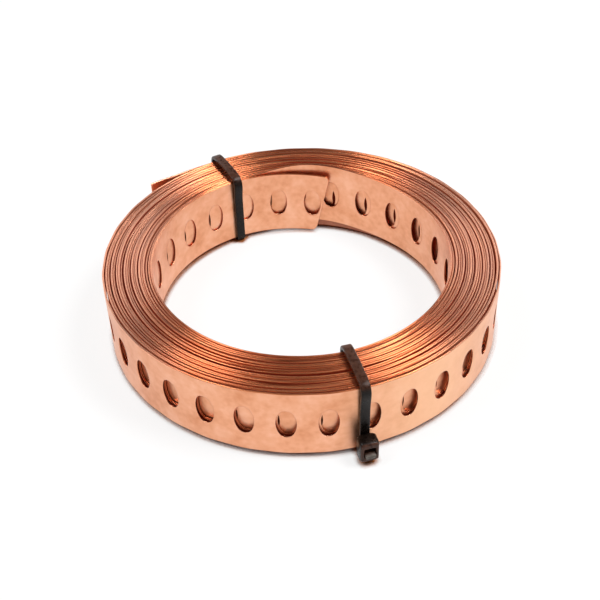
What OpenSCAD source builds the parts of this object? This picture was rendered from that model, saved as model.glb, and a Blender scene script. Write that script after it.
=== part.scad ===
/* [Strip] */
// Width of the copper strip, which is the height of the coil lying flat
strip_width = 20; // [16:1:30]
// Thickness of the copper strip
strip_thickness = 0.5; // [0.4:0.05:0.8]

/* [Coil] */
// Outer radius of the coil
coil_radius = 52.5; // [46:0.5:70]
// Number of turns of strip in the coil
turns = 20; // [8:1:24]
// Number of turns that lie close together in a bundle
bundle_turns = 4; // [2:1:8]
// Gap between two neighbouring turns in a bundle
turn_gap = 0.08; // [0.04:0.01:0.15]
// Gap between two neighbouring bundles
bundle_gap = 0.46; // [0.2:0.02:0.6]
// Depth to which the gap between two turns is open, at both ends of the coil
turn_groove_depth = 0.6; // [0.4:0.1:1.5]
// Depth to which the gap between two bundles is open, at both ends of the coil
bundle_groove_depth = 2; // [1:0.5:4]
// How far the edge of a turn may lie below the highest one
edge_stagger = 0.3; // [0.1:0.05:0.35]

/* [Holes] */
// Width of a hole, along the strip
hole_width = 5; // [4:0.25:6]
// Height of a hole, across the strip
hole_height = 8.8; // [7.6:0.2:11]
// Radius of a hole's rounded ends
hole_end_radius = 1.9; // [1.5:0.1:2.1]
// Distance from hole to hole along the strip
hole_pitch = 10.13; // [8:0.01:12]
// Angle of the first of the twelve named holes in the outer turn, in degrees
outer_hole_angle = -150.8; // [-155:0.1:-145]
// Distance from the strip's inner end to its last hole
end_hole_distance = 3.2; // [2.8:0.1:6]

/* [Strip ends] */
// Angle at which the strip's outer end is cut, in degrees
outer_end_angle = 140.5; // [138:0.5:146]
// How far the outer end springs away from the coil
outer_spring = 3.5; // [1:0.5:5]
// Angle at which the strip's inner end is cut, in degrees
inner_end_angle = 79.5; // [78:0.5:88]
// How far the inner end stands away from the turn outside it
inner_spring = 0.9; // [0.5:0.1:2]
// Rounding of the inner end's corners
end_corner_radius = 1.8; // [0.5:0.1:3]

/* [Cable ties] */
// Width of a tie's strap
strap_width = 2.5; // [2:0.1:3.6]
// Thickness of a tie's strap
strap_thickness = 1.1; // [0.8:0.1:1.4]
// Gap between a strap and the coil inside it
strap_clearance = 0.1; // [0.05:0.05:0.3]
// Height of the low arch that a strap makes over the coil
strap_rise = 0.9; // [0.3:0.1:2]
// Width of a tie's head
head_width = 4.8; // [4:0.1:6]
// Length of a tie's head, along its strap
head_length = 6.2; // [4:0.1:7]
// How far a tie's head stands out from the strap behind it
head_depth = 4; // [2.5:0.1:5]
// Rounding of a tie's head
head_rounding = 0.6; // [0.2:0.1:1]
// Height of the front tie's head above the floor
front_head_height = 1.2; // [0.5:0.1:8]
// Height of the rear tie's head above the floor
rear_head_height = 7; // [0.5:0.1:12]
// Length of a tie's cut tail, beyond its head
stub_length = 0.7; // [0.3:0.1:3]
// Angle of the front tie round the coil, in degrees
front_tie_angle = -75; // [-80:0.5:-70]
// Angle of the rear tie round the coil, in degrees
rear_tie_angle = 117.5; // [114:0.5:120]

/* [Hidden] */
$fn = 96;
copper = [0.86, 0.52, 0.36];
nylon = [0.06, 0.06, 0.06];
cut = 1;
// Depth at which a loose end or a head starts inside the piece that it grows from
root_overlap = 0.2;
// Angle left between the rear tie's strap and the root of a loose end
root_gap_angle = 0.5;
// Turn to turn, this angle steps the sine that staggers their edges, so that no pattern shows
stagger_step = 137.5;

// Thickness of the first turns of the coil, with the gap outside each of them
function build(count) = count * (strip_thickness + turn_gap)
    + floor(count / bundle_turns) * (bundle_gap - turn_gap);
bore_radius = coil_radius - build(turns - 1) - strip_thickness;
coil_bottom = strap_thickness;
coil_top = coil_bottom + strip_width;
middle_height = coil_bottom + strip_width / 2;

// A strap covers this angle on each side of its middle, on the inner and on the outer face
strap_inner_angle = asin((strap_width / 2 + strap_clearance) / bore_radius);
strap_outer_angle = asin((strap_width / 2 + strap_clearance) / coil_radius);

outer_hole_step = hole_pitch / coil_radius * 180 / PI;
inner_hole_step = hole_pitch / bore_radius * 180 / PI;

// Both loose ends start where the rear tie stops holding them
outer_tail_root = rear_tie_angle + strap_outer_angle + root_gap_angle;
inner_tail_root = rear_tie_angle - strap_inner_angle - root_gap_angle;
outer_tail_span = outer_end_angle - outer_tail_root;
inner_tail_span = inner_tail_root - inner_end_angle;

// The inner end keeps the bend of its turn, and is turned inwards and down about its root.
// Its corner, before the rounding, comes level with the underside of the straps.
inner_lever = bore_radius * sin(inner_tail_span);
inner_tail_turn = asin((inner_spring + strip_thickness + root_overlap) / inner_lever);
inner_tail_lean = asin(coil_bottom / inner_lever);

// A turn is counted from the bore. Its edge lies a little below the coil's flat end.
function turn_drop(i) = edge_stagger * (0.5 + 0.5 * sin(i * stagger_step));
function turn_start(i) = bore_radius + build(i);
function gap_depth(i) = (i + 1) % bundle_turns == 0 ? bundle_groove_depth : turn_groove_depth;
// A turn's edge, as radius and depth
function edge_points(i) = [
    [turn_start(i), turn_drop(i)],
    [turn_start(i) + strip_thickness, turn_drop(i)]
];
// The floor of the gap outside a turn, as radius and depth
function gap_points(i) = [
    [turn_start(i) + strip_thickness, gap_depth(i)],
    [turn_start(i + 1), gap_depth(i)]
];
end_points = [for (i = [0 : turns - 1]) each concat(edge_points(i), i < turns - 1 ? gap_points(i) : [])];

module turned_coil() {
    bottom = [for (p = end_points) [p[0], coil_bottom + p[1]]];
    top = [for (i = [len(end_points) - 1 : -1 : 0]) [end_points[i][0], coil_top - end_points[i][1]]];
    rotate_extrude() polygon(concat(bottom, top));
}

module hole_outline() {
    // Four arcs: two flat side arcs and two end arcs, tangent where they meet
    half = hole_width / 2;
    end_centre = hole_height / 2 - hole_end_radius;
    side_radius = (pow(end_centre, 2) + pow(half, 2) - pow(hole_end_radius, 2))
        / (2 * (half - hole_end_radius));
    side_centre = side_radius - half;
    join_height = end_centre * side_radius / (side_radius - hole_end_radius);
    intersection() {
        translate([-side_centre, 0]) circle(side_radius);
        translate([side_centre, 0]) circle(side_radius);
        square([hole_width, 2 * join_height], center = true);
    }
    for (side = [-1, 1]) translate([0, side * end_centre]) circle(hole_end_radius);
}

module hole_cut(angle, from_radius, depth) {
    rotate([0, 0, angle]) translate([from_radius, 0, middle_height])
        rotate([90, 0, 90]) linear_extrude(depth) hole_outline();
}

// Outer holes run from the one beside the outer end, round the coil and up the loose end
outer_first = ceil((outer_end_angle - 360 - outer_hole_angle) / outer_hole_step);
outer_last = floor((outer_end_angle - outer_hole_angle) / outer_hole_step);
outer_hole_angles = [for (k = [outer_first : outer_last]) outer_hole_angle + k * outer_hole_step];
// Inner holes run from the loose end, round the bore to the turn behind that end
inner_hole_angle = inner_end_angle + end_hole_distance / bore_radius * 180 / PI;
inner_last = floor((inner_end_angle + 360 - inner_hole_angle) / inner_hole_step);
inner_hole_angles = [for (k = [1 : inner_last]) inner_hole_angle + k * inner_hole_step];

module outer_tail() {
    // A flat length from its root in the coil to its end, which stands off the coil
    root = coil_radius - root_overlap;
    end = (coil_radius + outer_spring) * [cos(outer_tail_span), sin(outer_tail_span)];
    run = end - [root, 0];
    rotate([0, 0, outer_tail_root]) translate([root, 0, coil_bottom])
        rotate([0, 0, atan2(run[1], run[0])]) cube([norm(run), strip_thickness, strip_width]);
}

module inner_tail() {
    root = bore_radius + root_overlap;
    rotate([0, 0, inner_tail_root]) translate([root, 0, middle_height])
        rotate([inner_tail_lean, 0, 0]) mirror([0, 1, 0]) rotate([0, 0, inner_tail_turn])
            translate([-root, 0, -strip_width / 2]) difference() {
                rotate_extrude(angle = inner_tail_span)
                    translate([root, 0]) square([strip_thickness, strip_width]);
                rotate([0, 0, inner_tail_span]) translate([root - cut, 0, 0]) corner_cut();
                rotate([0, 0, inner_tail_span]) translate([root - cut, 0, strip_width])
                    mirror([0, 0, 1]) corner_cut();
            }
}

module corner_cut() {
    // What lies outside the rounding of one corner, with the strip on the side of negative y
    r = end_corner_radius;
    rotate([90, 0, 90]) linear_extrude(strip_thickness + 2 * cut) difference() {
        translate([-r, -cut]) square([r + cut, r + cut]);
        translate([-r, r]) circle(r);
    }
}

module strip_coil() {
    // The wall behind a loose end keeps its own hole, a little deeper than in a plain turn
    tail_depth = cut + inner_spring + 2 * strip_thickness;
    color(copper) difference() {
        union() {
            turned_coil();
            outer_tail();
            inner_tail();
        }
        for (angle = outer_hole_angles)
            hole_cut(angle, coil_radius - strip_thickness, strip_thickness + outer_spring + cut);
        for (angle = inner_hole_angles)
            hole_cut(angle, bore_radius - tail_depth, tail_depth + strip_thickness);
        hole_cut(inner_hole_angle, bore_radius - tail_depth, tail_depth + strip_thickness);
    }
}

module rounded_square(width, height, radius) {
    translate([radius, 0]) square([width - 2 * radius, height]);
    translate([0, radius]) square([width, height - 2 * radius]);
    for (x = [radius, width - radius], y = [radius, height - radius]) translate([x, y]) circle(radius);
}

module arch(centre, radius, start, width, height) {
    // The part of a circle that lies over the coil
    intersection() {
        translate(centre) circle(radius);
        translate([start, height]) square([width, height]);
    }
}

module tie_loop() {
    inside_width = coil_radius - bore_radius + 2 * strap_clearance;
    inside_height = strip_width + strap_clearance;
    inside_start = bore_radius - strap_clearance;
    // The arch is a circle through both upper corners, with its crown above the middle
    arch_radius = (pow(inside_width / 2, 2) + pow(strap_rise, 2)) / (2 * strap_rise);
    arch_height = strap_thickness + inside_height + strap_rise;
    arch_centre = [inside_start + inside_width / 2, arch_height - arch_radius];
    linear_extrude(strap_width, center = true) difference() {
        union() {
            translate([inside_start - strap_thickness, 0])
                rounded_square(inside_width + 2 * strap_thickness, inside_height + 2 * strap_thickness,
                    strap_thickness);
            arch(arch_centre, arch_radius + strap_thickness, inside_start, inside_width, inside_height);
        }
        translate([inside_start, strap_thickness]) square([inside_width, inside_height]);
        arch(arch_centre, arch_radius, inside_start, inside_width, inside_height);
    }
}

module tie(angle, head_height) {
    strap_face = coil_radius + strap_clearance + strap_thickness;
    color(nylon) rotate([0, 0, angle]) {
        rotate([90, 0, 0]) tie_loop();
        translate([strap_face - root_overlap, 0, head_height]) rotate([90, 0, 90]) {
            linear_extrude(head_depth + root_overlap) translate([-head_width / 2, 0])
                rounded_square(head_width, head_length, head_rounding);
            // The strap's cut end stands a little out of the head's slot
            linear_extrude(head_depth + root_overlap + stub_length)
                translate([-strap_width / 2, (head_length - strap_thickness) / 2])
                    square([strap_width, strap_thickness]);
        }
    }
}

module front_tie() {
    tie(front_tie_angle, front_head_height);
}

module rear_tie() {
    tie(rear_tie_angle, rear_head_height);
}

strip_coil();
front_tie();
rear_tie();
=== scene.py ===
# %% [markdown]
# # A coil of perforated copper earth strip
#
# The object is about 5.8 m of soft copper strip, 20 mm wide and 0.5 mm thick, with a row of
# punched holes along its middle. It is wound into a ring of twenty turns that lies flat on
# the floor. Two small black cable ties hold the turns together.
#
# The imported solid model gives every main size: the coil's bore and outer radius, its height
# and the place of both ties. This lesson keeps those sizes and replaces the plain solids with
# surfaces that are worked out from them. Lengths are written in millimetres and turned to
# metres when a mesh is made.

# %% Load the frame
import functools

import bpy
import numpy as np
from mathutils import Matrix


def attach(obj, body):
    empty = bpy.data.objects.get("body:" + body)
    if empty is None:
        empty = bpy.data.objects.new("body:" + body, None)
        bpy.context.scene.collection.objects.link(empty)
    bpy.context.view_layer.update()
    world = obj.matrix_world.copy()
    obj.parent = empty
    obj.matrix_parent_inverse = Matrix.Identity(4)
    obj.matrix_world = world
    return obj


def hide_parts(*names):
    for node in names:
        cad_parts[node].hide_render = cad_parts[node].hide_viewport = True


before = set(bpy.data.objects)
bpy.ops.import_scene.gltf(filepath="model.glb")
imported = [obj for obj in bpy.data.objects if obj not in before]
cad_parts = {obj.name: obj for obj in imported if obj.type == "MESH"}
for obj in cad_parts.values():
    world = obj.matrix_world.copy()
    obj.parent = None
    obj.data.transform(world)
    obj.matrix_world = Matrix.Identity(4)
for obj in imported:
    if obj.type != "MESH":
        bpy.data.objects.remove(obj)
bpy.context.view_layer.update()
MM = 0.001

# %% [markdown]
# ## The camera
#
# The camera comes first, because it decides how much detail each side of the coil needs.
# The photograph looks down at the coil from 41 degrees above the floor and from close by,
# so the far side looks clearly smaller than the near side. The distance and the lens follow
# from the two ellipses of the coil's rims. The camera is also turned by a small roll, with
# which the rims lean in the picture.

# %% Camera
ELEVATION = np.radians(40.95)
DISTANCE = 294.9
AIM = np.array([0.0, 0.0, 1.1])
FOCAL_PIXELS, FRAME_PIXELS, SENSOR = 1062.7, 600, 36
YAW, PITCH, ROLL = -0.0023, -0.0099, 0.0297
NEAREST_SEEN, FARTHEST_SEEN = 0.01, 20


def turned(axis, angle):
    """The 3 by 3 matrix of a turn about one axis: cosines and sines in the other two."""
    c, s = np.cos(angle), np.sin(angle)
    matrix = np.eye(3)
    i, j = [(1, 2), (2, 0), (0, 1)][axis]
    matrix[i, i] = matrix[j, j] = c
    matrix[i, j], matrix[j, i] = -s, s
    return matrix


def add_camera():
    """Puts the camera at its elevation and distance, facing the aim, and adds the small turns."""
    sine, cosine = np.sin(ELEVATION), np.cos(ELEVATION)
    looking = np.array([[1, 0, 0], [0, sine, cosine], [0, -cosine, sine]])
    to_camera = turned(2, ROLL) @ turned(0, PITCH) @ turned(1, YAW) @ looking
    data = bpy.data.cameras.new("camera")
    data.sensor_width = SENSOR
    data.lens = FOCAL_PIXELS / FRAME_PIXELS * SENSOR
    data.clip_start, data.clip_end = NEAREST_SEEN, FARTHEST_SEEN
    camera = bpy.data.objects.new("camera", data)
    bpy.context.scene.collection.objects.link(camera)
    matrix = np.eye(4)
    matrix[:3, :3] = to_camera.T
    matrix[:3, 3] = (AIM + DISTANCE * np.array([0, -cosine, sine])) * MM
    camera.matrix_world = matrix.T.tolist()
    bpy.context.scene.camera = camera
    print("camera lens, mm:", round(data.lens, 2))


add_camera()

# %% [markdown]
# ## Sizes of the coil
#
# These are the solid model's own values. The strip starts at the inner end, runs once round
# the bore for every turn, and its outer end springs away from the coil. The rear tie is where
# both loose ends are let go, so turns are counted from there: the number u grows by one for
# every turn, from 0 at the innermost turn under the rear tie to 20 at the outermost.

# %% Sizes
STRIP_WIDTH, STRIP_THICKNESS = 20.0, 0.5
TURNS = 20
COIL_RADIUS, BORE_RADIUS = 52.5, 39.46
STRAP_WIDTH, STRAP_THICKNESS, STRAP_CLEARANCE = 2.5, 1.1, 0.1
COIL_BOTTOM = STRAP_THICKNESS
MIDDLE_HEIGHT = COIL_BOTTOM + STRIP_WIDTH / 2
REAR_TIE, FRONT_TIE = 117.5, -75.0
INNER_END, OUTER_END = 79.5, 140.5
INNER_SPRING, OUTER_SPRING = 0.9, 3.5
HOLE_PITCH, FIRST_HOLE, END_HOLE_DISTANCE = 10.13, -150.8, 3.2
HOLE_WIDTH, HOLE_HEIGHT, HOLE_END_RADIUS = 5.0, 8.8, 1.9
print("coil, mm: radius", COIL_RADIUS, " bore", BORE_RADIUS, " height", STRIP_WIDTH)

# %% [markdown]
# ## How tightly the turns lie
#
# A real coil is never evenly wound. The turns lie in bundles, with open grooves between them,
# and the pattern of the grooves changes on the way round. It could be drawn as dark lines in
# the material, but then light could not fall into the grooves. So each gap between two
# neighbouring turns gets its own width here, at eight places from one pass of the rear tie to
# the next, and the widths in between are eased from place to place. At every angle the gaps
# are scaled so that all turns together fill the coil exactly from its bore to its outside.

# %% Gaps between the turns
# Most turns touch, and the second and third stand a little apart all the way round
SHUT, THIRD_TURN_LOOSE = 0.05, 0.3


def gap_list(open_gaps):
    """Widths of the 20 gaps outside turns 0 to 19, with a few of them opened."""
    gaps = np.full(TURNS, SHUT)
    gaps[1] = THIRD_TURN_LOOSE
    for turn, width in open_gaps.items():
        gaps[turn] = width
    return gaps


# Under the rear tie lie the twenty turns and one loose end, so its gaps share less room
rear = gap_list({2: 0.25, 5: 0.35, 8: 0.3, 12: 0.5, 15: 0.25, 17: 0.35, 18: 0.18})
rear *= (COIL_RADIUS - BORE_RADIUS - (TURNS + 1) * STRIP_THICKNESS) / rear.sum()

# Each place is an angle round the coil from the rear tie, in turns, with its open gaps
PLACES = [
    (0.0, rear),
    (0.17, gap_list({2: 0.25, 5: 0.35, 8: 0.3, 11: 0.45, 14: 0.35, 16: 0.4, 18: 0.38})),
    (0.34, gap_list({2: 0.25, 5: 0.2, 9: 0.6, 12: 0.1, 15: 0.35, 17: 0.25, 18: 0.33})),
    (0.43, gap_list({3: 0.25, 6: 0.15, 9: 0.85, 13: 0.2, 16: 0.15, 18: 0.43})),
    (0.53, gap_list({3: 0.25, 6: 0.35, 9: 0.3, 11: 0.3, 13: 0.25, 16: 0.25, 18: 0.38})),
    (0.68, gap_list({2: 0.25, 5: 0.3, 9: 0.35, 12: 0.3, 15: 0.35, 17: 0.45, 18: 0.25})),
    (0.84, gap_list({3: 0.3, 7: 0.4, 11: 0.35, 14: 0.5, 17: 0.4, 18: 0.28})),
    (1.0, np.roll(rear, -1)),
]
print("gaps under the rear tie, mm:", round(rear.min(), 3), "to", round(rear.max(), 3))

# %% [markdown]
# ## The radius of every turn
#
# With the gaps known, the radius is a sum: the bore, then a thickness for each turn and a gap
# for each space inside it. Two places need care. Behind the inner end the bore steps out by
# one turn, because a new turn starts there, and just behind the outer end the outside is one
# turn less. Between them the innermost turn swells a tenth of a millimetre into the bore.

# %% Radius of a turn
BORE_SWELL = 0.1
# Where the bore starts to step out, and over what part of a turn each of the two steps goes
BORE_STEP_START, BORE_STEP, OUTSIDE_STEP = 0.78, 0.22, 0.12
JUST_UNDER = 1e-9


def eased(x):
    """Rises from 0 to 1 with level ends: three x squared less two x cubed."""
    x = np.clip(x, 0, 1)
    return x * x * (3 - 2 * x)


def gaps_at(turn_part):
    """Gap widths at angles given in turns: the two nearest places, mixed by an eased weight."""
    angles = np.array([place[0] for place in PLACES])
    widths = np.array([place[1] for place in PLACES])
    after = np.clip(np.searchsorted(angles, turn_part, side="right"), 1, len(angles) - 1)
    start, end = angles[after - 1], angles[after]
    weight = eased((turn_part - start) / (end - start))[:, None]
    return widths[after - 1] * (1 - weight) + widths[after] * weight


def bore_at(turn_part):
    """Inner radius of the innermost turn: the bore, less a squared sine, and an eased step out."""
    step = STRIP_THICKNESS + rear[0]
    swollen = BORE_RADIUS - BORE_SWELL * np.sin(np.pi * turn_part) ** 2
    return swollen + step * eased((turn_part - BORE_STEP_START) / BORE_STEP)


def outside_at(turn_part):
    """Outer radius of the outermost turn: it is one turn less just behind the outer end."""
    step = STRIP_THICKNESS + rear[-1]
    return COIL_RADIUS - step * (1 - eased(turn_part / OUTSIDE_STEP))


def turn_radius(u):
    """Radius of the strip's middle: the bore, and every turn and gap inside it, at this angle."""
    turn = np.clip(np.floor(u), 0, TURNS - 1).astype(int)
    part = u - turn
    gaps = gaps_at(np.clip(part, 0, 1))[:, : TURNS - 1]
    room = outside_at(part) - bore_at(part) - TURNS * STRIP_THICKNESS
    gaps = gaps * (room / gaps.sum(1))[:, None]
    inside = np.concatenate([np.zeros((len(u), 1)), np.cumsum(gaps, 1)], 1)
    inside = np.take_along_axis(inside, turn[:, None], 1)[:, 0]
    return bore_at(part) + turn * STRIP_THICKNESS + inside + STRIP_THICKNESS / 2


print("radius of the first and last turn, mm:", turn_radius(np.array([0.5, TURNS - 0.5])).round(2))

# %% [markdown]
# ## How high each turn lies
#
# The height of each turn wanders by a few tenths of a millimetre, as it does on a coil that
# was wound by hand, but it is level under the ties, where the straps press all turns down.
# Behind the inner end one turn stands up a little, and the inner end hangs down to the floor.

# %% Rise of the strip
END_SLANT = 4.4
end_reach = END_SLANT / 2
# Length of the two loose ends, in turns
INNER_TAIL = (REAR_TIE - INNER_END) / 360 + end_reach / (2 * np.pi * BORE_RADIUS)
OUTER_TAIL = (OUTER_END - REAR_TIE) / 360
# Each wave: its share, and how fast it runs with the turns and where it starts, in radians
WAVES = [(0.5, 2.399, 0.6), (0.3, 7.13, 2.0), (0.2, 16.9, 0.0)]
WAVE_HEIGHT, GRIP_REACH = 0.36, 0.04
STANDING_HEIGHT, STANDING_PLACE, STANDING_REACH = 1.9, 0.91, 0.06
HANG_POWER = 1.2


def tie_grip(u):
    """Is 1 between the ties and falls to 0 at each of them, as a bell-shaped dip."""
    part = np.mod(u, 1)
    front = np.mod(FRONT_TIE - REAR_TIE, 360) / 360
    away = np.minimum(np.minimum(part, 1 - part), np.abs(part - front))
    return 1 - np.exp(-((away / GRIP_REACH) ** 2))


def turn_height(u):
    """Rise of the strip: three slow sine waves along it and one bell, stilled under the ties."""
    wave = sum(share * np.sin(rate * u + start) for share, rate, start in WAVES)
    rise = WAVE_HEIGHT * wave * tie_grip(u)
    rise += STANDING_HEIGHT * np.exp(-(((u - STANDING_PLACE) / STANDING_REACH) ** 2)) * tie_grip(u)
    return rise - COIL_BOTTOM * np.clip(-u / INNER_TAIL, 0, None) ** HANG_POWER


# %% [markdown]
# ## The path of the strip
#
# The strip's middle is one long curve. The turns give its radius, and each loose end adds its
# own spring: the outer end leaves the coil in a nearly straight line, and the inner end leans
# inwards. The curve is worked out once on a fine table, and every later point is read from
# that table by its distance along the strip.

# %% Path of the strip
TABLE_STEP = 1 / 1440
LEAN_POWER = 1.3


def secant_rise(turns):
    """How far a straight line that touches a circle of radius 1 has left it after such a turn."""
    return 1 / np.cos(np.radians(turns * 360)) - 1


def path_table():
    """Distance, position, rise and direction at every step of u, with the loose ends bent out."""
    u = np.arange(-INNER_TAIL, TURNS + OUTER_TAIL + TABLE_STEP / 2, TABLE_STEP)
    radius = turn_radius(np.clip(u, 0, TURNS - JUST_UNDER))
    lean = (INNER_SPRING + STRIP_THICKNESS) * np.clip(-u / INNER_TAIL, 0, 1) ** LEAN_POWER
    radius = np.where(u < 0, BORE_RADIUS + STRIP_THICKNESS / 2 - lean, radius)
    spring = OUTER_SPRING * (secant_rise(np.clip(u - TURNS, 0, None)) / secant_rise(OUTER_TAIL))
    radius = np.where(u > TURNS, COIL_RADIUS - STRIP_THICKNESS / 2 + spring, radius)
    angle = np.radians(REAR_TIE + 360 * u)
    place = np.stack([radius * np.cos(angle), radius * np.sin(angle)], 1)
    step = np.linalg.norm(np.diff(place, axis=0), axis=1)
    along = np.concatenate([[0], np.cumsum(step)])
    direction = np.gradient(place, along, axis=0)
    direction /= np.linalg.norm(direction, axis=1)[:, None]
    return {"u": u, "along": along, "place": place, "direction": direction, "rise": turn_height(u)}


path = path_table()
strip_length = path["along"][-1]
path_radius = np.linalg.norm(path["place"], axis=1)
print("strip length, m:", round(strip_length * MM, 3), " radius range, mm:",
      path_radius.min().round(2), path_radius.max().round(2))

# %% [markdown]
# ## Where the holes are
#
# The holes were punched before the strip was wound, so they are evenly spaced along it. The
# row starts 3.2 mm from the middle of the inner end, and on the outermost turn it has to meet
# the twelve holes that the solid model names. So the spacing is worked out from those two
# places. One hole fewer between them than 10.13 mm gives makes it 0.02 mm wider, and then the
# holes of neighbouring turns overlap as in the photograph.

# %% Holes along the strip
HOLES_FEWER = 1
first_middle = end_reach + END_HOLE_DISTANCE
u_named = TURNS - 1 + np.mod(FIRST_HOLE - REAR_TIE, 360) / 360
along_named = np.interp(u_named, path["u"], path["along"])
hole_steps = np.round((along_named - first_middle) / HOLE_PITCH) - HOLES_FEWER
pitch = (along_named - first_middle) / hole_steps
hole_count = int(np.floor((strip_length - first_middle - HOLE_WIDTH) / pitch)) + 1
hole_places = first_middle + pitch * np.arange(hole_count)
print("holes:", hole_count, " spacing, mm:", round(float(pitch), 4))

# %% [markdown]
# ## The outline of a hole
#
# A hole could be cut with a boolean, but almost six hundred cuts in a curved strip would be
# slow and would leave ragged triangles. Here the strip is built in cells instead, one for
# each hole. A cell is a ring of faces between the hole's oval outline and the cell's
# rectangular border, so the holes are there from the start and every cell joins the next.
#
# The outline is drawn by four arcs: two flat ones for the sides and two small ones for the
# ends.

# %% Outline of a hole
def hole_outline(angles):
    """Points of the oval where rays from its middle at these angles meet its four arcs."""
    half = HOLE_WIDTH / 2
    end_centre, small = HOLE_HEIGHT / 2 - HOLE_END_RADIUS, HOLE_END_RADIUS
    side_radius = (end_centre ** 2 + half ** 2 - small ** 2) / (2 * (half - small))
    side_centre = side_radius - half
    join = end_centre * side_radius / (side_radius - small)
    across, up = np.abs(np.cos(angles)), np.abs(np.sin(angles))
    # A ray meets a circle where its length solves the circle's square equation
    to_side = -side_centre * across + np.sqrt(side_radius ** 2 - (side_centre * up) ** 2)
    to_end = end_centre * up + np.sqrt(np.clip(small ** 2 - (end_centre * across) ** 2, 0, None))
    length = np.where(to_side * up < join, to_side, to_end)
    return np.stack([length * np.cos(angles), length * np.sin(angles)], 1)


upright, level = hole_outline(np.radians([90, 0]))
print("hole, mm:", round(2 * level[0], 2), "by", round(2 * upright[1], 2))

# %% [markdown]
# ## The cells and the cross-section of the strip
#
# The strip was slit from sheet and its edges were rolled, so they are round. The section is a
# flat face, a half circle over the top edge, the other face, and a half circle under the
# bottom edge. The crown of each edge is what catches the light on the coil's flat ends.
#
# Cells of the innermost and outermost turns, whose holes can be seen, get more points, a
# rounded rim and a shallow dent that the punch has left. The cells between them stay plain.

# %% One cell
TOP_CROWN_STEPS, BOTTOM_CROWN_STEPS = 6, 3
FINE_STEPS, PLAIN_STEPS = 12, 5
HALF_WIDTH, HALF_THICKNESS = STRIP_WIDTH / 2, STRIP_THICKNESS / 2
FACE_TOP = HALF_WIDTH - HALF_THICKNESS
# Heights of the points on a cell's upright sides, closer together towards the corners
SIDE_HEIGHTS = np.array([-FACE_TOP, -9.3, -8.2, -4.6, 0, 4.6, 8.2, 9.3, FACE_TOP])
# Distance out from a hole's outline, and depth below the face, of the rings of a punched rim
PUNCHED_RIM = [(1.1, 0.0), (0.45, 0.03), (0.09, 0.06), (0.0, 0.14)]
PLAIN_RIM = [(0.0, 0.0)]
# A cell is about this many times as tall as it is long, as the rays to its border allow for
CELL_STRETCH = 2


def cell_border(left, right, steps):
    """Border points of a cell, anticlockwise from its lower right corner."""
    up = SIDE_HEIGHTS[:-1]
    level = np.linspace(right, left, steps + 1)[:-1]
    return np.concatenate([
        np.stack([np.full(len(up), right), up], 1),
        np.stack([level, np.full(steps, FACE_TOP)], 1),
        np.stack([np.full(len(up), left), -up], 1),
        np.stack([left + right - level, np.full(steps, -FACE_TOP)], 1),
    ])


def cell_rings(left, right, steps, rim_rings):
    """Rings of (along, up, depth below the face), from the cell's border to the hole's wall."""
    border = cell_border(left, right, steps)
    rim = hole_outline(np.arctan2(border[:, 1] / CELL_STRETCH, border[:, 0]))
    tangent = np.roll(rim, -1, 0) - np.roll(rim, 1, 0)
    outward = np.stack([tangent[:, 1], -tangent[:, 0]], 1)
    outward /= np.linalg.norm(outward, axis=1)[:, None]
    rings = [np.column_stack([border, np.zeros(len(border))])]
    for out, depth in rim_rings:
        rings.append(np.column_stack([rim + out * outward, np.full(len(rim), depth)]))
    return np.array(rings)


# %% Faces, wall and edges of a cell
def grid_quads(rows, columns, closed=False):
    """Quads between the rows of a point grid; a closed one joins its last column to its first."""
    index = np.arange(rows * columns).reshape(rows, columns)
    if closed:
        index = np.column_stack([index, index[:, 0]])
    corners = [index[:-1, :-1], index[:-1, 1:], index[1:, 1:], index[1:, :-1]]
    return np.stack(corners, -1).reshape(-1, 4)


def crowned_edge(along, end, steps):
    """Half a circle over the strip's top edge, or under its bottom edge, all along a cell."""
    turn = np.linspace(np.pi / 2, -np.pi / 2, steps + 1)[:, None]
    height = end * (FACE_TOP + HALF_THICKNESS * np.cos(turn))
    return np.stack(np.broadcast_arrays(along, height, HALF_THICKNESS * np.sin(turn)), -1)


def cell_patches(left, right, steps, rim_rings):
    """The cell as point grids and quads: two faces, the hole's wall and two crowned edges."""
    rings = cell_rings(left, right, steps, rim_rings)
    rows, columns = rings.shape[:2]
    patches = []
    for side in (1, -1):
        face = rings.copy()
        face[..., 2] = side * (HALF_THICKNESS - rings[..., 2])
        patches.append((face, grid_quads(rows, columns, True)[:, ::side]))
    wall = np.stack([patches[0][0][-1], patches[1][0][-1]])
    patches.append((wall, grid_quads(2, columns, True)))
    along = np.linspace(left, right, steps + 1)[None]
    for end, crown_steps in ((1, TOP_CROWN_STEPS), (-1, BOTTOM_CROWN_STEPS)):
        quads = grid_quads(crown_steps + 1, steps + 1)[:, ::end]
        patches.append((crowned_edge(along, end, crown_steps), quads))
    return patches


# %% The flat strip
INNER_CELLS_SHOWN, OUTER_CELLS_SHOWN = 1.12, 1.05
SAME_PLACE = 1e-3


def build_strip():
    """Every cell's grids, moved along the strip to its hole, as one list of points and quads."""
    between = (hole_places[1:] + hole_places[:-1]) / 2
    borders = np.concatenate([[0], between, [strip_length]])
    turn_of = np.interp(hole_places, path["along"], path["u"])
    shown = (turn_of < INNER_CELLS_SHOWN) | (turn_of > TURNS - OUTER_CELLS_SHOWN)
    points, quads, total = [], [], 0
    for middle, left, right, fine in zip(hole_places, borders[:-1], borders[1:], shown):
        steps, rim_rings = (FINE_STEPS, PUNCHED_RIM) if fine else (PLAIN_STEPS, PLAIN_RIM)
        for grid, faces in cell_patches(left - middle, right - middle, steps, rim_rings):
            grid = grid.reshape(-1, 3) + [middle, 0, 0]
            points.append(grid)
            quads.append(faces + total)
            total += len(grid)
    print("cells with a punched rim:", int(shown.sum()), "of", len(shown))
    return np.concatenate(points), np.concatenate(quads)


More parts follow.
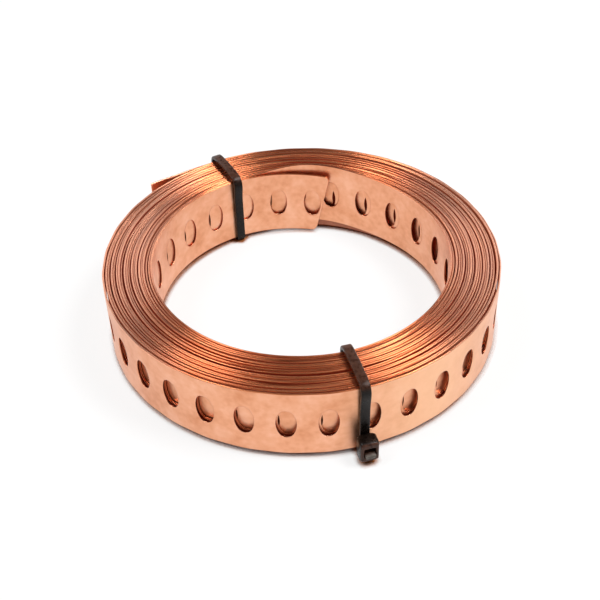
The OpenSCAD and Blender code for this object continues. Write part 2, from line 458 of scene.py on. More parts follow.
def merged(points, faces):
    """Points that agree to a tenth of a micrometre become one, and the faces follow."""
    _, first, where = np.unique(
        np.round(points, 4), axis=0, return_index=True, return_inverse=True)
    return points[first], where.reshape(-1)[faces]


flat_points, strip_quads = merged(*build_strip())
print("strip points:", len(flat_points), " quads:", len(strip_quads))

# %% [markdown]
# ## The two cut ends
#
# The shears closed the strip's section at both ends. Each end needs a cap: a row of quads
# between the two faces and a small one in each crowned edge. The inner end was also cut at a
# slant, and its corners are rounded. That needs no new faces: the points near the end are
# slid along the strip by an amount that depends on their height. The slide fades out with the
# distance from the end, more slowly near the corners, so that no point overtakes another and
# the first hole keeps its shape.

# %% Ends of the strip
END_CORNER = 1.8
SLIDE_REACH, CORNER_SLIDE_REACH = end_reach + 0.6, 5


def end_cap(at, turned_round):
    """Faces across the section at one end: each height's two points, joined to the next two."""
    section = np.flatnonzero(np.abs(flat_points[:, 0] - at) < SAME_PLACE)
    height = np.round(flat_points[section, 1], 3)
    order = np.lexsort((flat_points[section, 2], height))
    _, first, count = np.unique(height[order], return_index=True, return_counts=True)
    back, front = section[order][first], section[order][first + count - 1]
    faces = np.stack([back[:-1], front[:-1], front[1:], back[1:]], 1)
    if turned_round:
        faces = faces[:, ::-1]
    # The crown of an edge is a single point, so the face below it is a triangle
    return [list(dict.fromkeys(face)) for face in faces.tolist()]


def slid(points):
    """Moves points near the inner end along the strip: a slant over its width, round corners."""
    reach = SLIDE_REACH + CORNER_SLIDE_REACH * (points[:, 1] / HALF_WIDTH) ** 2
    near = np.clip(1 - points[:, 0] / reach, 0, 1)
    slant = END_SLANT * (0.5 - points[:, 1] / STRIP_WIDTH)
    over = np.clip(np.abs(points[:, 1]) - (HALF_WIDTH - END_CORNER), 0, END_CORNER)
    corner = END_CORNER - np.sqrt(END_CORNER ** 2 - over ** 2)
    result = points.copy()
    result[:, 0] += near * (slant + corner)
    return result


caps = end_cap(0, False) + end_cap(strip_length, True)
strip_faces = strip_quads.tolist() + caps
print("faces in the two end caps:", len(caps))

# %% [markdown]
# ## From the flat strip to the coil
#
# So far the strip lies straight: each point has a distance along it, a height and a distance
# out from its middle. Bending it is one lookup. The table gives the place and the direction
# at that distance, and the point is moved out at a right angle to the direction.
#
# The strip is weaker across a hole than between two holes, so it bends mostly there. On the
# loose outermost turn this shows as a slight flatness between the holes.

# %% Wind the strip
FLATNESS, FLAT_FROM, FLAT_FADE = 0.05, 0.98, 0.05
SHARP_ANGLE = np.radians(50)


def wind(flat):
    """Place on the coil: the path's point, moved sideways by the out distance, up by the height."""
    columns = [*path["place"].T, *path["direction"].T, path["rise"], path["u"]]
    x, y, dx, dy, rise, turn = (np.interp(flat[:, 0], path["along"], row) for row in columns)
    loose = eased((turn - TURNS + FLAT_FROM) / FLAT_FADE)
    bend = np.cos(2 * np.pi * (flat[:, 0] - first_middle) / pitch) - 1
    out = flat[:, 2] + loose * FLATNESS * bend
    size = np.hypot(dx, dy)
    height = MIDDLE_HEIGHT + flat[:, 1] + rise
    return np.column_stack([x + out * dy / size, y - out * dx / size, height])


def add_piece(name, points, faces):
    """A smooth mesh object from points in millimetres, at the origin, that rides on the body."""
    mesh = bpy.data.meshes.new(name)
    mesh.from_pydata((points * MM).tolist(), [], faces)
    mesh.polygons.foreach_set("use_smooth", np.ones(len(faces), bool))
    mesh.set_sharp_from_angle(angle=SHARP_ANGLE)
    piece = bpy.data.objects.new(name, mesh)
    bpy.context.scene.collection.objects.link(piece)
    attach(piece, "root")
    triangles = sum(len(face) - 2 for face in faces)
    print(name, "points:", len(points), " triangles:", triangles)
    return piece


def crease(piece, at_corner):
    """Marks mesh edges between two marked points as sharp, so flat faces stay flat up to them."""
    ends = np.empty(2 * len(piece.data.edges), int)
    piece.data.edges.foreach_get("vertices", ends)
    sharp = np.empty(len(piece.data.edges), bool)
    piece.data.edges.foreach_get("use_edge_sharp", sharp)
    sharp |= at_corner[ends.reshape(-1, 2)].all(1)
    piece.data.edges.foreach_set("use_edge_sharp", sharp)


# %% The wound strip
flat_shape = slid(flat_points)
copper_strip = add_piece("copper_strip", wind(flat_shape), strip_faces)
crease(copper_strip, np.abs(np.abs(flat_points[:, 1]) - FACE_TOP) < SAME_PLACE)
# The flat place of each point, in metres, is kept for the patterns of the copper
lay = copper_strip.data.attributes.new("lay", "FLOAT_VECTOR", "POINT")
lay.data.foreach_set("vector", (flat_shape * MM).astype(np.float32).ravel())
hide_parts("strip_coil")

# %% [markdown]
# ## Building a material
#
# Every finish below is built the same way. Colours are written as sRGB hex values, as a
# painter would pick them, and one function turns them to the linear values that the renderer
# works with. One small function adds a node, with its settings and links. It takes the inputs
# in the order in which the node shows them, so a sum reads almost as it would on paper, and
# where an input is another node, that node's first output is joined to it.

# %% Material helpers
def linear(code):
    """Linear red, green, blue and alpha of an sRGB hex colour."""
    values = np.array([int(code[i:i + 2], 16) for i in (1, 3, 5)]) / 255
    values = np.where(values <= 0.04045, values / 12.92, ((values + 0.055) / 1.055) ** 2.4)
    return (*values.tolist(), 1.0)


def add_node(tree, kind, *inputs, stops=(), **named):
    """Adds a node. Names in small letters are settings, and capitalised ones are inputs; stops
    are a ramp's (position, hex colour) pairs. An input is a value, a socket or a whole node."""
    node = tree.nodes.new("ShaderNode" + kind)
    for name, value in named.items():
        if name[0].islower():
            setattr(node, name, value)
    filled = list(zip([socket for socket in node.inputs if socket.enabled], inputs))
    filled += [(node.inputs[name.replace("_", " ")], value)
               for name, value in named.items() if name[0].isupper()]
    for socket, value in filled:
        if isinstance(value, bpy.types.Node):
            value = next(output for output in value.outputs if output.enabled)
        if isinstance(value, bpy.types.NodeSocket):
            tree.links.new(value, socket)
        else:
            socket.default_value = value
    for number, (position, code) in enumerate(stops):
        elements = node.color_ramp.elements
        element = elements[number] if number < len(elements) else elements.new(position)
        element.position, element.color = position, linear(code)
    return node


def new_material(name):
    """An empty node material, and add_node with its tree already filled in."""
    material = bpy.data.materials.new(name)
    material.use_nodes = True
    material.node_tree.nodes.clear()
    return material, functools.partial(add_node, material.node_tree)


# %% [markdown]
# ## Annealed copper: the open faces
#
# The strip is soft, cold-rolled copper. Rolling leaves fine lines along the strip and a satin
# surface that mirrors its surroundings only softly. Where hands and the winding have touched
# it, the oxide film is a little thicker, and the colour is cloudier and browner.
#
# All patterns read the flat place of a point, so they follow the strip round the coil. It is
# in metres, so a noise scale says how many of its spots would fit into a metre.

# %% Copper faces
# Clouds of oxide 9 mm across, and small spots of 1.5 mm
CLOUDS, SPOTS, SPOT_SHARE = 110.0, 650.0, 0.35
FACE_TONES = [(0.45, "#DF966D"), (0.68, "#F0AC86"), (0.9, "#FABC9A")]
# A painted highlight on the front of the outermost turn, towards its right: where it begins and
# where it ends
GLARE_TONE, GLARE_SHARE = "#FFCBA2", 0.75
GLARE_BEGINS, GLARE_ENDS = (TURNS - 0.56, TURNS - 0.48), (TURNS - 0.47, TURNS - 0.36)


def along_at(*turns):
    """Distances along the strip, in metres, at which these turn numbers are reached."""
    return [float(v) for v in np.interp(turns, path["u"], path["along"]) * MM]


def within(add, along, begins, ends):
    """Is 1 on a stretch of the strip, between two ramps that are given in turn numbers."""
    rises = add("MapRange", along, *along_at(*begins))
    falls = add("MapRange", along, *along_at(*ends), 1.0, 0.0)
    return add("Math", rises, falls, operation="MULTIPLY")


def face_colour(add, place, along, clouds):
    """Tones of copper by clouds and a share of the spots, and a painted highlight on a brighter
    stretch.
    """
    spots = add("TexNoise", Vector=place, Scale=SPOTS, Detail=2.0, Roughness=0.5)
    both = add("Math", spots, SPOT_SHARE, clouds, operation="MULTIPLY_ADD")
    tones = add("ValToRGB", both, stops=FACE_TONES)
    # Painted highlight: one stretch of the outer face is made brighter and paler
    glare = within(add, along, GLARE_BEGINS, GLARE_ENDS)
    glare = add("Math", glare, GLARE_SHARE, operation="MULTIPLY")
    return add("Mix", glare, tones, linear(GLARE_TONE), data_type="RGBA")


# %% [markdown]
# ## Annealed copper: painted shade between the turns
#
# Copper that is covered by a neighbouring turn gets a painted red-brown shade above and below
# its holes, where the gaps between the turns are dark. Deep inside the coil, all round the holes
# too, the painted shade is red-brown and hardly metallic. The punched wall of a hole is the
# darkest: its rough punched edge is dark, and painted shade is added. These marks could be
# painted on each turn by hand, but the flat place says enough: how far along the strip a point
# is, how high, and on which side.

# %% Copper films
GAP_SHADE_TONE, GAP_SHADE_SHARE = "#7A3F26", 0.75
# Height above or below the middle, in metres, over which a covered face gets its painted shade
GAP_SHADE_FROM, GAP_SHADE_FULL = 0.0055, 0.0075
DEEP_SHADE_TONE, DEEP_BEGINS, DEEP_ENDS = "#8E3A26", (3, 5), (TURNS - 6, TURNS - 4)
# A hole's wall is the only place near the middle height so far inside the strip's thickness
WALL_EDGE_AND_SHADE_TONE, WALL_HEIGHT, WALL_DEPTH = "#7A2A18", 0.006, 0.000105


def covered_face(add, along, height, out):
    """Is 1 on copper that faces a neighbouring turn, above and below the row of holes."""
    let_go, first_end, last_start, sprung = along_at(0, 1, TURNS - 1, TURNS)
    bore_side = add("Math", add("Math", along, first_end, operation="LESS_THAN"),
                    add("Math", out, 0.0, operation="LESS_THAN"), operation="MULTIPLY")
    outside = add("Math", add("Math", along, last_start, operation="GREATER_THAN"),
                  add("Math", out, 0.0, operation="GREATER_THAN"), operation="MULTIPLY")
    loose = add("Math", add("Math", along, let_go, operation="LESS_THAN"),
                add("Math", along, sprung, operation="GREATER_THAN"), operation="MAXIMUM")
    open_faces = add("Math", bore_side, outside, operation="MAXIMUM")
    open_faces = add("Math", open_faces, loose, operation="MAXIMUM")
    facing = add("Math", 1.0, open_faces, operation="SUBTRACT")
    off_middle = add("MapRange", height, GAP_SHADE_FROM, GAP_SHADE_FULL)
    return add("Math", facing, off_middle, operation="MULTIPLY")


def painted_gap_shade(add, colour, covered, deep, height, out):
    """The face's colour with painted shade: on covered faces, the deep turns and the holes' walls.
    """
    # Painted shade: covered faces, deep turns and holes' walls are darkened to red-brown
    share = add("Math", covered, GAP_SHADE_SHARE, operation="MULTIPLY")
    colour = add("Mix", share, colour, linear(GAP_SHADE_TONE), data_type="RGBA")
    colour = add("Mix", deep, colour, linear(DEEP_SHADE_TONE), data_type="RGBA")
    depth = add("Math", out, operation="ABSOLUTE")
    wall = add("Math", add("Math", depth, WALL_DEPTH, operation="LESS_THAN"),
               add("Math", height, WALL_HEIGHT, operation="LESS_THAN"), operation="MULTIPLY")
    return add("Mix", wall, colour, linear(WALL_EDGE_AND_SHADE_TONE), data_type="RGBA")


# %% [markdown]
# ## Annealed copper: the slit edges
#
# The slit edges are rougher than the faces and have darkened unevenly. Along an edge the
# colour changes slowly, so that neighbouring turns shine differently, and a painted pale
# sheen lies on the edges at the coil's two sides, where they mirror whiter light.

# %% Copper edges
# Streaks along an edge are 38 mm long
STREAKS = 26.0
EDGE_TONES = [(0.34, "#96482A"), (0.5, "#D98056"), (0.66, "#F29C6C")]
SIDE_SHEEN_TONE, SIDE_SHEEN_SHARE = "#DCA890", 0.65
SIDE_SHEEN_FROM, SIDE_SHEEN_FULL = 0.026, 0.042


def edge_colour(add, streaks):
    """Tones of copper by the streaks, with a painted pale sheen where the coil is far to the left
    or right.
    """
    tones = add("ValToRGB", streaks, stops=EDGE_TONES)
    sides = add("SeparateXYZ", add("TexCoord").outputs["Object"])
    sideways = add("Math", sides, operation="ABSOLUTE")
    # Painted sheen: edges far to the left and right of the coil are made paler
    side_sheen = add("MapRange", sideways, SIDE_SHEEN_FROM, SIDE_SHEEN_FULL)
    side_sheen = add("Math", side_sheen, SIDE_SHEEN_SHARE, operation="MULTIPLY")
    return add("Mix", side_sheen, tones, linear(SIDE_SHEEN_TONE), data_type="RGBA")


# %% [markdown]
# ## Annealed copper: the whole finish
#
# Roughness and relief finish the metal. The rolling lines on real strip are a few hundredths
# of a millimetre apart, which is too fine to show, so they are drawn 0.3 mm apart and 30 mm
# long. They blur the mirror image along the strip, and an edge is a little smoother. Each
# edge is also tilted a little by its streaks, which spreads the glints of the lamps.
#
# Light that was mirrored many times between the turns is cut off by the renderer, so a faint
# red glow, which is painted light, on the copper with painted shade stands for it.

# %% Copper relief
ROLLING_LINES = (30.0, 3300.0, 3300.0)
EDGE_FADE = 0.02
DULLEST, GLOW_TONE, GLOW = 0.7, "#6A200C", 0.3
SMOOTHEST, ROUGHEST, EDGE_SMOOTHER = 0.28, 0.44, 0.08
# Height of the relief in metres, on a face and on an edge, and the clouds' share of it
FACE_RELIEF, EDGE_RELIEF, CLOUD_RELIEF = 0.000025, 0.000003, 0.6
# How far an edge leans to either side, and the range of the streaks that does it
EDGE_TILT, STREAKS_LOW, STREAKS_HIGH = 0.45, 0.3, 0.7


def copper_relief(add, out, edge, clouds, lines, streaks):
    """Height for the bump: lines and clouds, finer on an edge, and a tilt across each edge."""
    relief = add("Math", clouds, CLOUD_RELIEF, lines, operation="MULTIPLY_ADD")
    size = add("MapRange", edge, 0.0, 1.0, FACE_RELIEF, EDGE_RELIEF)
    relief = add("Math", relief, size, operation="MULTIPLY")
    lean = add("MapRange", streaks, STREAKS_LOW, STREAKS_HIGH, -EDGE_TILT, EDGE_TILT)
    tilt = add("Math", out, lean, operation="MULTIPLY")
    return add("Math", tilt, edge, relief, operation="MULTIPLY_ADD")


# %% Copper
def rolled_copper():
    """Satin metal: a cloudy base colour, darker edges, and rolling lines in roughness and bump."""
    material, add = new_material("annealed_rolled_copper")
    place = add("Attribute", attribute_name="lay").outputs["Vector"]
    along, across, out = add("SeparateXYZ", place).outputs
    height = add("Math", across, operation="ABSOLUTE")
    clouds = add("TexNoise", Vector=place, Scale=CLOUDS, Detail=3.0, Roughness=0.6)
    stretched = add("Mapping", Vector=place, Scale=ROLLING_LINES)
    lines = add("TexNoise", Vector=stretched, Scale=1.0, Detail=3.0, Roughness=0.6)
    far = add("CombineXYZ", X=along)
    streaks = add("TexNoise", Vector=far, Scale=STREAKS, Detail=2.0, Roughness=0.6)
    # The slit edges start where the height passes the flat part of the face
    edge = add("MapRange", height, (FACE_TOP - EDGE_FADE) * MM, (FACE_TOP + EDGE_FADE) * MM)
    covered = covered_face(add, along, height, out)
    deep = within(add, along, DEEP_BEGINS, DEEP_ENDS)
    colour = painted_gap_shade(add, face_colour(add, place, along, clouds), covered, deep, height, out)
    colour = add("Mix", edge, colour, edge_colour(add, streaks), data_type="RGBA")
    # Where shade is painted, the metal is also duller, but not on the edges
    dull = add("Math", add("Math", deep, covered, operation="MAXIMUM"),
               add("Math", 1.0, edge, operation="SUBTRACT"), operation="MULTIPLY")
    lost = add("Math", dull, DULLEST, operation="MULTIPLY")
    smoother = add("Math", edge, EDGE_SMOOTHER, operation="MULTIPLY")
    satin = add("MapRange", lines, 0.0, 1.0, SMOOTHEST, ROUGHEST)
    relief = copper_relief(add, out, edge, clouds, lines, streaks)
    shader = add("BsdfPrincipled", Base_Color=colour,
                 Metallic=add("Math", 1.0, lost, operation="SUBTRACT"),
                 Roughness=add("Math", satin, smoother, operation="SUBTRACT"),
                 Normal=add("Bump", Strength=1.0, Distance=1.0, Height=relief),
                 Emission_Color=linear(GLOW_TONE),
                 Emission_Strength=add("Math", dull, GLOW, operation="MULTIPLY"))
    add("OutputMaterial", Surface=shader)
    print(material.name, "nodes:", len(material.node_tree.nodes))
    return material


copper_strip.data.materials.append(rolled_copper())

# %% [markdown]
# ## A cable tie's strap
#
# Each tie is a moulded nylon strap, 2.5 mm wide, that was pulled tight round the turns. It
# could be bent from a flat strip with a curve modifier, but a swept profile keeps every edge
# exact: the rounded section of the strap is carried round a closed path. The path is a
# rectangle with rounded corners that the strap makes on its way over the coil. Stiff nylon
# does not hug a sharp corner, so the strap rises over the coil as a low arch, both sides bow
# out towards the upper corners, and these corners are softened.
#
# The inner face of the strap has the ladder of small teeth that the head grips.

# %% Path of a strap
STRAP_ROUNDING, ROUNDING_STEPS = 0.3, 5
TOOTH_PITCH, TOOTH_DEPTH, TOOTH_STEPS = 1.05, 0.22, 4
BEND_RADIUS, BEND_STEPS, LOOP_STEP = 1.0, 12, 0.2
# How high the arch is, what its shoulders lose, and how far and over what height the sides bow
STRAP_RISE, SHOULDER_DROP, SIDE_BOW, BOW_REACH = 1.0, 0.3, 0.9, 0.35
# Heights, from 0 at the middle to 1 at the coil's end, from which the strap arches and softens
ARCH_FROM, SOFT_FROM, SOFT_OVER, SOFT_POINTS = 0.5, 0.3, 0.4, 12


def rounded_corners(width, height, radius, steps):
    """A rectangle with rounded corners, anticlockwise, with steps points in each quarter."""
    angles = np.linspace(0, np.pi / 2, steps)
    quarter = np.stack([np.cos(angles), np.sin(angles)], 1) * radius
    result = []
    for sign_x, sign_y, flip in ((1, 1, 1), (-1, 1, -1), (-1, -1, 1), (1, -1, -1)):
        middle = np.array([sign_x * (width / 2 - radius), sign_y * (height / 2 - radius)])
        result.append(middle + quarter[::flip] * [sign_x, sign_y])
    return np.concatenate(result)


def evenly(loop, step):
    """A closed line of points, placed again at even steps along it."""
    closed = np.vstack([loop, loop[:1]])
    along = np.concatenate([[0], np.cumsum(np.linalg.norm(np.diff(closed, axis=0), axis=1))])
    count = int(round(along[-1] / step))
    places = np.linspace(0, along[-1], count, endpoint=False)
    return np.stack([np.interp(places, along, closed[:, i]) for i in (0, 1)], 1), places


def strap_loop(inside, tall):
    """The strap's middle line: a rounded rectangle, arched and bowed, with soft upper corners."""
    rectangle = rounded_corners(
        inside + STRAP_THICKNESS, tall + STRAP_THICKNESS, BEND_RADIUS, BEND_STEPS)
    loop, _ = evenly(rectangle, LOOP_STEP)
    across, up = loop[:, 0] / (inside / 2), loop[:, 1] / (tall / 2)
    # The arch is a parabola, and the bow is a bell that is widest at the upper corners
    arch = eased((up - ARCH_FROM) / (1 - ARCH_FROM)) * (1 - SHOULDER_DROP * across ** 2)
    bow = np.exp(-(((up - 1) / BOW_REACH) ** 2)) * eased(np.abs(across))
    loop[:, 1] += STRAP_RISE * arch
    loop[:, 0] += np.sign(across) * SIDE_BOW * bow
    # Each upper point moves to the mean of its neighbours, which makes the upper corners soft
    shifts = range(-SOFT_POINTS, SOFT_POINTS + 1)
    soft = np.mean([np.roll(loop, shift, 0) for shift in shifts], 0)
    return loop + (soft - loop) * eased((up - SOFT_FROM) / SOFT_OVER)[:, None]


# %% Surface of a strap
def strap_surface():
    """The strap's section carried round its loop, as a closed grid of (radial, sideways, up)."""
    inside = COIL_RADIUS - BORE_RADIUS + 2 * STRAP_CLEARANCE
    tall = STRIP_WIDTH + STRAP_CLEARANCE
    loop, places = evenly(strap_loop(inside, tall), TOOTH_PITCH / TOOTH_STEPS)
    direction = np.roll(loop, -1, 0) - np.roll(loop, 1, 0)
    outward = np.stack([direction[:, 1], -direction[:, 0]], 1)
    outward /= np.linalg.norm(outward, axis=1)[:, None]
    section = rounded_corners(STRAP_THICKNESS, STRAP_WIDTH, STRAP_ROUNDING, ROUNDING_STEPS)
    depth = section[None, :, 0] + np.zeros((len(loop), 1))
    toothed = np.abs(section[:, 1]) < STRAP_WIDTH / 2 - STRAP_ROUNDING / 2
    toothed &= section[:, 0] < 0
    depth[:, toothed] += TOOTH_DEPTH * np.mod(places / TOOTH_PITCH, 1)[:, None]
    middle = [(COIL_RADIUS + BORE_RADIUS) / 2, STRAP_THICKNESS + tall / 2]
    grid = np.empty((*depth.shape, 3))
    grid[..., 0] = middle[0] + loop[:, None, 0] + outward[:, None, 0] * depth
    grid[..., 1] = section[None, :, 1]
    grid[..., 2] = middle[1] + loop[:, None, 1] + outward[:, None, 1] * depth
    return grid


def doubly_closed(rows, columns):
    """Quads of a grid that closes both ways, as on a ring."""
    index = np.arange(rows * columns).reshape(rows, columns)
    right, below = np.roll(index, -1, 1), np.roll(index, -1, 0)
    return np.stack([index, right, np.roll(right, -1, 0), below], -1).reshape(-1, 4)


print("strap, points round and across:", strap_surface().shape[:2])

# %% [markdown]
# ## A cable tie's head
#
# The head is a small moulded box with a slot through it. The strap's end came up through the
# slot, past the pawl that holds it, and was snipped off just above it. The box is lofted:
# rounded rectangles of changing size are stacked outwards from the strap, turn over the front
# edge, come in to the slot and go down its walls. So outside and slot are one closed surface.

# %% Head of a tie
HEAD_WIDTH, HEAD_LENGTH, HEAD_DEPTH = 4.8, 6.2, 4.0
SLOT_WIDTH, SLOT_LENGTH, SLOT_DEPTH = 2.9, 2.9, 2.4
SLOT_FLOOR, STUB_TOP = HEAD_DEPTH - SLOT_DEPTH, HEAD_DEPTH + 0.7
CORNER_STEPS = 6
# Each section: how far out from the strap, width, length and corner radius
HEAD_SECTIONS = [
    (-0.2, 0.6, 0.9, 0.2), (-0.2, 3.0, 3.6, 0.4), (0.0, 3.9, 5.0, 0.7), (0.35, 4.35, 5.6, 0.8),
    (0.9, HEAD_WIDTH, HEAD_LENGTH, 0.8), (2.9, HEAD_WIDTH, HEAD_LENGTH, 0.8),
    (3.4, 4.7, 6.05, 0.8), (3.75, 4.45, 5.75, 0.75), (3.95, 4.1, 5.3, 0.7),
    (HEAD_DEPTH, 3.7, 4.7, 0.6), (HEAD_DEPTH, 3.2, 3.3, 0.35), (HEAD_DEPTH - 0.06, 3.0, 3.0, 0.3),
    (HEAD_DEPTH - 0.2, SLOT_WIDTH, SLOT_LENGTH, 0.25), (SLOT_FLOOR, SLOT_WIDTH, SLOT_LENGTH, 0.25),
    (SLOT_FLOOR, 0.4, 0.3, 0.1),
]
# The snipped end is the strap's own section, standing a little out of the slot
STUB_SECTIONS = [
    (SLOT_FLOOR - 0.1, STRAP_WIDTH, STRAP_THICKNESS, 0.2),
    (STUB_TOP - 0.12, STRAP_WIDTH, STRAP_THICKNESS, 0.2),
    (STUB_TOP, STRAP_WIDTH - 0.2, STRAP_THICKNESS - 0.2, 0.15),
]
PAWL_SECTIONS = [
    (SLOT_FLOOR - 0.1, 1.9, 0.8, 0.15), (HEAD_DEPTH - 1.6, 1.9, 0.75, 0.15),
    (HEAD_DEPTH - 1.3, 1.7, 0.45, 0.12),
]
STUB_HEIGHT, PAWL_HEIGHT = -0.75, 0.6


def closed_loft(sections, middle):
    """Stacked rounded rectangles round a middle, as points and arrays of faces, ends filled."""
    grid = np.array([
        np.column_stack([np.full(4 * CORNER_STEPS, out),
                         rounded_corners(width, length, radius, CORNER_STEPS)])
        for out, width, length, radius in sections]) + middle
    rows, columns = grid.shape[:2]
    index = np.arange(rows * columns).reshape(rows, columns)
    return grid.reshape(-1, 3), [grid_quads(rows, columns, True), index[:1, ::-1], index[-1:]]


def joined(parts):
    """Several (points, arrays of faces) as one, each part's faces counted on from the last."""
    points, faces, total = [], [], 0
    for part_points, face_arrays in parts:
        points.append(part_points)
        for array in face_arrays:
            faces += (array + total).tolist()
        total += len(part_points)
    return np.concatenate(points), faces


# %% [markdown]
# ## The two ties
#
# A tie is first built in its radial plane, strap, head, snipped end and pawl, and is then
# turned round the coil's axis to its angle. The front tie's head hangs just above the floor.
# The rear tie's head is at the back of the coil, which the photograph hides.
#
# The nylon needs to know where it is pale: the strap's top and the slot's mouth get a painted
# highlight, and the snipped end is whitened. So each point also gets a number for its paleness.

# %% Ties
SNIPPED_DEPTH, MOUTH_DEPTH = 0.15, 0.3
# Painted highlights: how pale the slot's mouth and the strap's top are made, and over what height
PALE_MOUTH, PALE_TOP, PALE_TOP_OVER = 0.5, 0.5, 1.6
# Name, angle, height of the head's lower side, and the solid that the tie stands for
TIES = (("front_cable_tie", FRONT_TIE, 1.2, "front_tie"),
        ("rear_cable_tie", REAR_TIE, 7.0, "rear_tie"))


def tie_parts(head_height):
    """Strap, head, snipped end and pawl in the tie's radial plane, and each point's paleness."""
    strap = strap_surface()
    strap_part = strap.reshape(-1, 3), [doubly_closed(*strap.shape[:2])]
    outside = COIL_RADIUS + STRAP_CLEARANCE + STRAP_THICKNESS
    middle = np.array([outside, 0, head_height + HEAD_LENGTH / 2])
    head = closed_loft(HEAD_SECTIONS, middle)
    stub = closed_loft(STUB_SECTIONS, middle + [0, 0, STUB_HEIGHT])
    pawl = closed_loft(PAWL_SECTIONS, middle + [0, 0, PAWL_HEIGHT])
    points, faces = joined([strap_part, head, stub, pawl])
    front = points[:, 0] - outside
    mouth = np.where(front > HEAD_DEPTH - MOUTH_DEPTH, PALE_MOUTH, 0.0)
    paleness = np.where(front > STUB_TOP - SNIPPED_DEPTH, 1.0, mouth)
    over_coil = points[:, 2] - MIDDLE_HEIGHT - HALF_WIDTH
    return points, faces, paleness + PALE_TOP * eased(over_coil / PALE_TOP_OVER)


def place_tie(points, angle):
    """Turns a tie's (radial, sideways, up) points round the coil's axis to its angle."""
    c, s = np.cos(np.radians(angle)), np.sin(np.radians(angle))
    x, y, z = points.T
    return np.stack([x * c - y * s, x * s + y * c, z], 1)


ties = []
for name, angle, head_height, node in TIES:
    points, faces, paleness = tie_parts(head_height)
    tie = add_piece(name, place_tie(points, angle), faces)
    pale = tie.data.attributes.new("pale", "FLOAT", "POINT")
    pale.data.foreach_set("value", paleness.astype(np.float32))
    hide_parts(node)
    ties.append(tie)

# %% [markdown]
# ## Black nylon
#
# Cable ties are moulded from nylon 6/6 with carbon black. The plastic itself is almost black,
# and what the eye sees is its gloss: a soft, greyish shine along every rounded edge. The
# mould leaves a very fine grain, drawn here 0.25 mm across so that it can be seen. The top of
# the straps and the slot's mouth get a painted highlight, tinted brown as a painted reflection
# of the copper, and the shears left the snipped end grey.

# %% Nylon
# Grain of 0.25 mm and haze of 1.1 mm, as spots in a metre
GRAIN, HAZE = 4000.0, 900.0
HAZE_LOW, HAZE_HIGH = 0.3, 0.7
BLACK_TONES = [(HAZE_LOW, "#0C0705"), (HAZE_HIGH, "#1A110D")]
SHEEN_TONES = [(HAZE_LOW, "#45281D"), (HAZE_HIGH, "#67402F")]
SNIPPED_TONES = [(HAZE_LOW, "#4A423C"), (HAZE_HIGH, "#6E665F")]
# Paleness over which the painted highlight gives way to snipped nylon, and roughness of the thin
# and thick haze
SNIPPED_FROM, SNIPPED_FULL = 0.6, 1.0
GLOSSY, HAZY = 0.2, 0.42
# A bloom dulls the shine of the nylon, and its grain is a tenth of a millimetre high
SHINE, GRAIN_STRENGTH, GRAIN_HEIGHT = 0.18, 0.35, 0.0001


def black_nylon():
    """Near-black plastic with a fine grain in its roughness and bump."""
    material, add = new_material("black_moulded_nylon")
    place = add("TexCoord").outputs["Object"]
    grain = add("TexNoise", Vector=place, Scale=GRAIN, Detail=2.0, Roughness=0.5)
    haze = add("TexNoise", Vector=place, Scale=HAZE, Detail=2.0, Roughness=0.5)
    black = add("ValToRGB", haze, stops=BLACK_TONES)
    # Painted highlight, tinted brown as a painted reflection of the copper
    sheen = add("ValToRGB", haze, stops=SHEEN_TONES)
    snipped = add("ValToRGB", haze, stops=SNIPPED_TONES)
    pale = add("Attribute", attribute_name="pale").outputs["Fac"]
    cut = add("MapRange", pale, SNIPPED_FROM, SNIPPED_FULL)
    sheen_and_cut = add("Mix", cut, sheen, snipped, data_type="RGBA")
    shader = add("BsdfPrincipled", Specular_IOR_Level=SHINE,
                 Base_Color=add("Mix", pale, black, sheen_and_cut, data_type="RGBA"),
                 Roughness=add("MapRange", haze, HAZE_LOW, HAZE_HIGH, GLOSSY, HAZY),
                 Normal=add("Bump", Strength=GRAIN_STRENGTH, Distance=GRAIN_HEIGHT,
                            Height=grain))
    add("OutputMaterial", Surface=shader)
    print(material.name, "nodes:", len(material.node_tree.nodes))
    return material


nylon = black_nylon()
for tie in ties:
    tie.data.materials.append(nylon)

# %% [markdown]
# ## The paper floor
#
# The photograph was taken on white paper in a white surround. The paper has to look white
# without more light on the object. So its material adds plain white for rays that come from
# the camera or from a mirror-like surface, and stays an ordinary pale surface below that,
# which still takes the object's shadow. The added white would fill the thin dark line under
# the coil, so it fades in closed places, where the paper gets a painted copper-brown shade
# instead. Far from the coil there is no shadow to keep, so the paper turns fully white out there.

# %% Paper floor
FLOOR_SIZE = 6.0
WHITE = (1, 1, 1, 1)
# The second tone is a painted shade, for the paper where the coil closes it in
PAPER_TONE, CONTACT_SHADE_TONE = "#F4F4F4", "#A8683E"
# How far the paper looks for copper, in metres, and how open it is where the white sets in
CONTACT_REACH, CONTACT_CLOSED, CONTACT_OPEN, CONTACT_SAMPLES = 0.002, 0.73, 0.78, 8
# Share of the added white near the coil, and the distances over which it grows to all of it
NEAR_WHITE, NEAR, FAR = 0.8, 0.12, 0.5


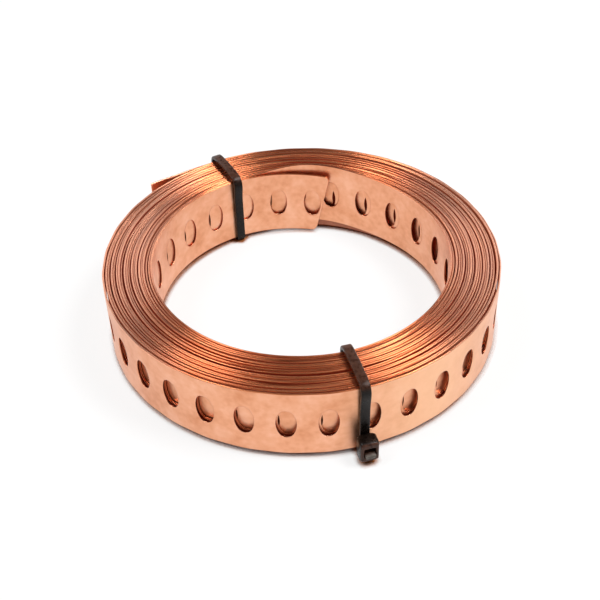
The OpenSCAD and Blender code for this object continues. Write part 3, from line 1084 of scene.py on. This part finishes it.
def paper():
    """Pale diffuse paper with a painted brown shade where closed in, and white added for camera,
    glossy and transmission rays.
    """
    material, add = new_material("white_paper")
    rays = add("LightPath").outputs
    seen = add("Math", rays["Is Camera Ray"], rays["Is Glossy Ray"], operation="MAXIMUM")
    seen = add("Math", seen, rays["Is Transmission Ray"], operation="MAXIMUM")
    closed = add("AmbientOcclusion", samples=CONTACT_SAMPLES, Distance=CONTACT_REACH)
    openness = add("MapRange", closed.outputs["AO"], CONTACT_CLOSED, CONTACT_OPEN)
    away = add("VectorMath", add("TexCoord").outputs["Object"], operation="LENGTH")
    share = add("Math", seen, add("MapRange", away, NEAR, FAR, NEAR_WHITE, 1.0),
                operation="MULTIPLY")
    share = add("Math", share, openness, operation="MULTIPLY")
    # Painted shade: the paper turns copper-brown where it is closed in
    shaded_paper = add("Mix", openness, linear(CONTACT_SHADE_TONE), linear(PAPER_TONE), data_type="RGBA")
    plain = add("BsdfDiffuse", Color=shaded_paper)
    white = add("Emission", Color=WHITE, Strength=1.0)
    add("OutputMaterial", Surface=add("MixShader", share, plain, white))
    return material


def add_floor():
    """A level square of paper at height zero."""
    mesh = bpy.data.meshes.new("floor")
    x, y = FLOOR_SIZE / 2 * np.array([[-1, 1, 1, -1], [-1, -1, 1, 1]])
    mesh.from_pydata(np.column_stack([x, y, 0 * x]).tolist(), [], [(0, 1, 2, 3)])
    floor = bpy.data.objects.new("floor", mesh)
    bpy.context.scene.collection.objects.link(floor)
    mesh.materials.append(paper())


add_floor()
print("floor, m:", FLOOR_SIZE)

# %% [markdown]
# ## The sky
#
# The sky is full white for the camera and a soft grey light for the object. Copper and nylon
# mirror the white too, up to 13 degrees above the horizon, as from a backdrop. From there it
# fades, and by 24 degrees they mirror the grey of a dim ceiling, which keeps the grooves dark.

# %% Sky
SKY_LEVEL = 0.14
# Sines of the heights at which the mirrored white begins to fade and is gone
BACKDROP_TOP, CEILING = 0.22, 0.4


def white_world():
    """A sky that is white for the camera, grey for light, and white low down in mirror images."""
    world = bpy.data.worlds.new("studio")
    bpy.context.scene.world = world
    world.use_nodes = True
    world.node_tree.nodes.clear()
    add = functools.partial(add_node, world.node_tree)
    rays = add("LightPath").outputs
    up = add("SeparateXYZ", add("TexCoord").outputs["Object"]).outputs["Z"]
    mirrored = add("Math", rays["Is Glossy Ray"], rays["Is Transmission Ray"],
                   operation="MAXIMUM")
    mirrored = add("Math", mirrored, add("MapRange", up, BACKDROP_TOP, CEILING, 1.0, 0.0),
                   operation="MULTIPLY")
    shown = add("Math", rays["Is Camera Ray"], mirrored, operation="MAXIMUM")
    lit = add("Background", Color=WHITE, Strength=SKY_LEVEL)
    seen = add("Background", Color=WHITE, Strength=1.0)
    add("OutputWorld", Surface=add("MixShader", shown, lit, seen))


bpy.context.scene.view_settings.view_transform = "Standard"
white_world()
print("level of the sky's light:", SKY_LEVEL)

# %% [markdown]
# ## Lamps
#
# Two softboxes stand high on the left and on the right. On the crowned edges of the turns
# each makes two glowing fans, one on the near side of the coil and one on the far side. Two
# large low screens behind the coil light its inner wall and the edges at the back.

# %% Lamps
# Each lamp: azimuth and elevation in degrees, distance and size in metres, and power in watts
LAMPS = {
    "left_softbox": (190, 57, 0.8, (0.32, 0.32), 3.2),
    "right_softbox": (-10, 57, 0.8, (0.32, 0.32), 5.5),
    "back_left_screen": (126, 20, 1.2, (0.95, 0.9), 3.9),
    "back_right_screen": (54, 20, 1.2, (0.95, 0.9), 4.2),
}


def add_lamp(name, azimuth, elevation, distance, size, power):
    """A rectangular lamp at that direction and distance, facing the coil."""
    data = bpy.data.lights.new(name, "AREA")
    data.shape, data.energy = "RECTANGLE", power
    data.size, data.size_y = size
    lamp = bpy.data.objects.new(name, data)
    lamp.visible_camera = False
    bpy.context.scene.collection.objects.link(lamp)
    a, e = np.radians(azimuth), np.radians(elevation)
    towards = np.array([np.cos(e) * np.cos(a), np.cos(e) * np.sin(a), np.sin(e)])
    side = np.cross([0, 0, 1], towards)
    side /= np.linalg.norm(side)
    matrix = np.eye(4)
    matrix[:3, :3] = np.stack([side, np.cross(towards, side), towards], 1)
    matrix[:3, 3] = towards * distance
    lamp.matrix_world = matrix.T.tolist()


for name, lamp in LAMPS.items():
    add_lamp(name, *lamp)
print("lamps:", [light.name for light in bpy.data.lights])
